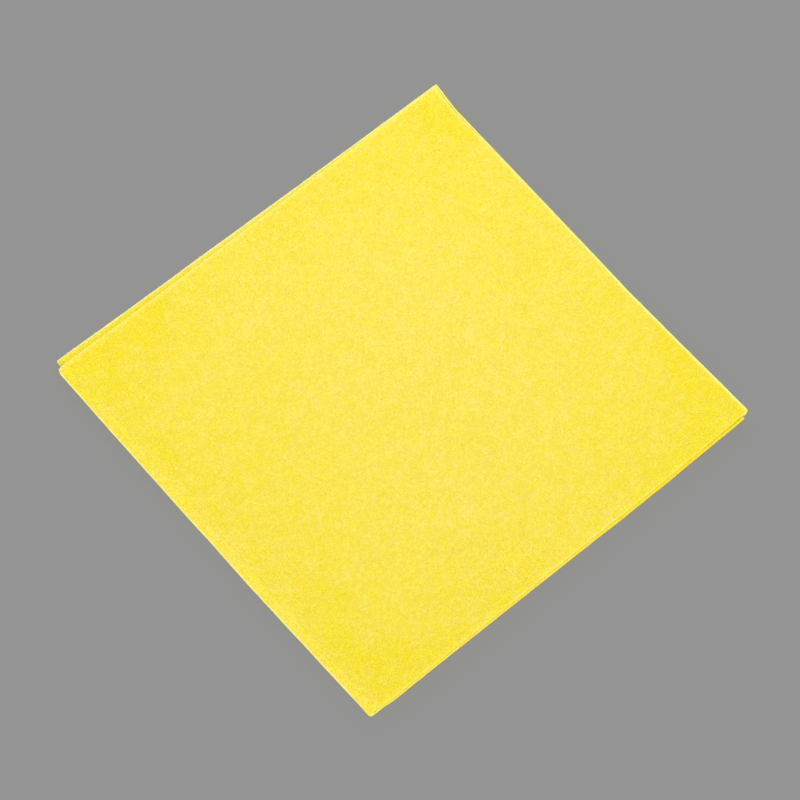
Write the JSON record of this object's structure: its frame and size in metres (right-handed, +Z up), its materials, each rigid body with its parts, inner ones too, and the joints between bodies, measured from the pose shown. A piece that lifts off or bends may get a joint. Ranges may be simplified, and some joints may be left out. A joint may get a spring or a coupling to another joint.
{
  "type": "folded floor cleaning cloth",
  "caption": "Thick nonwoven floor cleaning cloth with plain cut edges, folded into quarters; the upper half swings open about the second fold.",
  "frame": {"origin": "under the middle of the folded cloth's box, on the surface that the cloth lies on", "axes": "+Z up out of the pile; the first fold is at the +X side and the second fold at the -Y side; the cut edges are at the -X and +Y sides"},
  "size_m": [0.2564, 0.2606, 0.0089],
  "materials": {
    "yellow_felt": "matte"
  },
  "bodies": {
    "lower_half": {"bottom_inner_quarter": "yellow_felt", "bottom_outer_quarter": "yellow_felt", "first_fold_bottom": "yellow_felt", "second_fold_outer": "yellow_felt", "second_fold_inner": "yellow_felt", "fold_corner": "yellow_felt"},
    "upper_half": {"top_outer_quarter": "yellow_felt", "top_inner_quarter": "yellow_felt", "first_fold_top": "yellow_felt"}
  },
  "joints": [
    {"name": "second_fold", "type": "hinge", "parent": "lower_half", "child": "upper_half", "pos_m": [0, -0.1259, 0.00445], "axis": [1, 0, 0], "range_deg": [0, 180], "deforming": ["second_fold_outer", "second_fold_inner", "fold_corner"]}
  ]
}
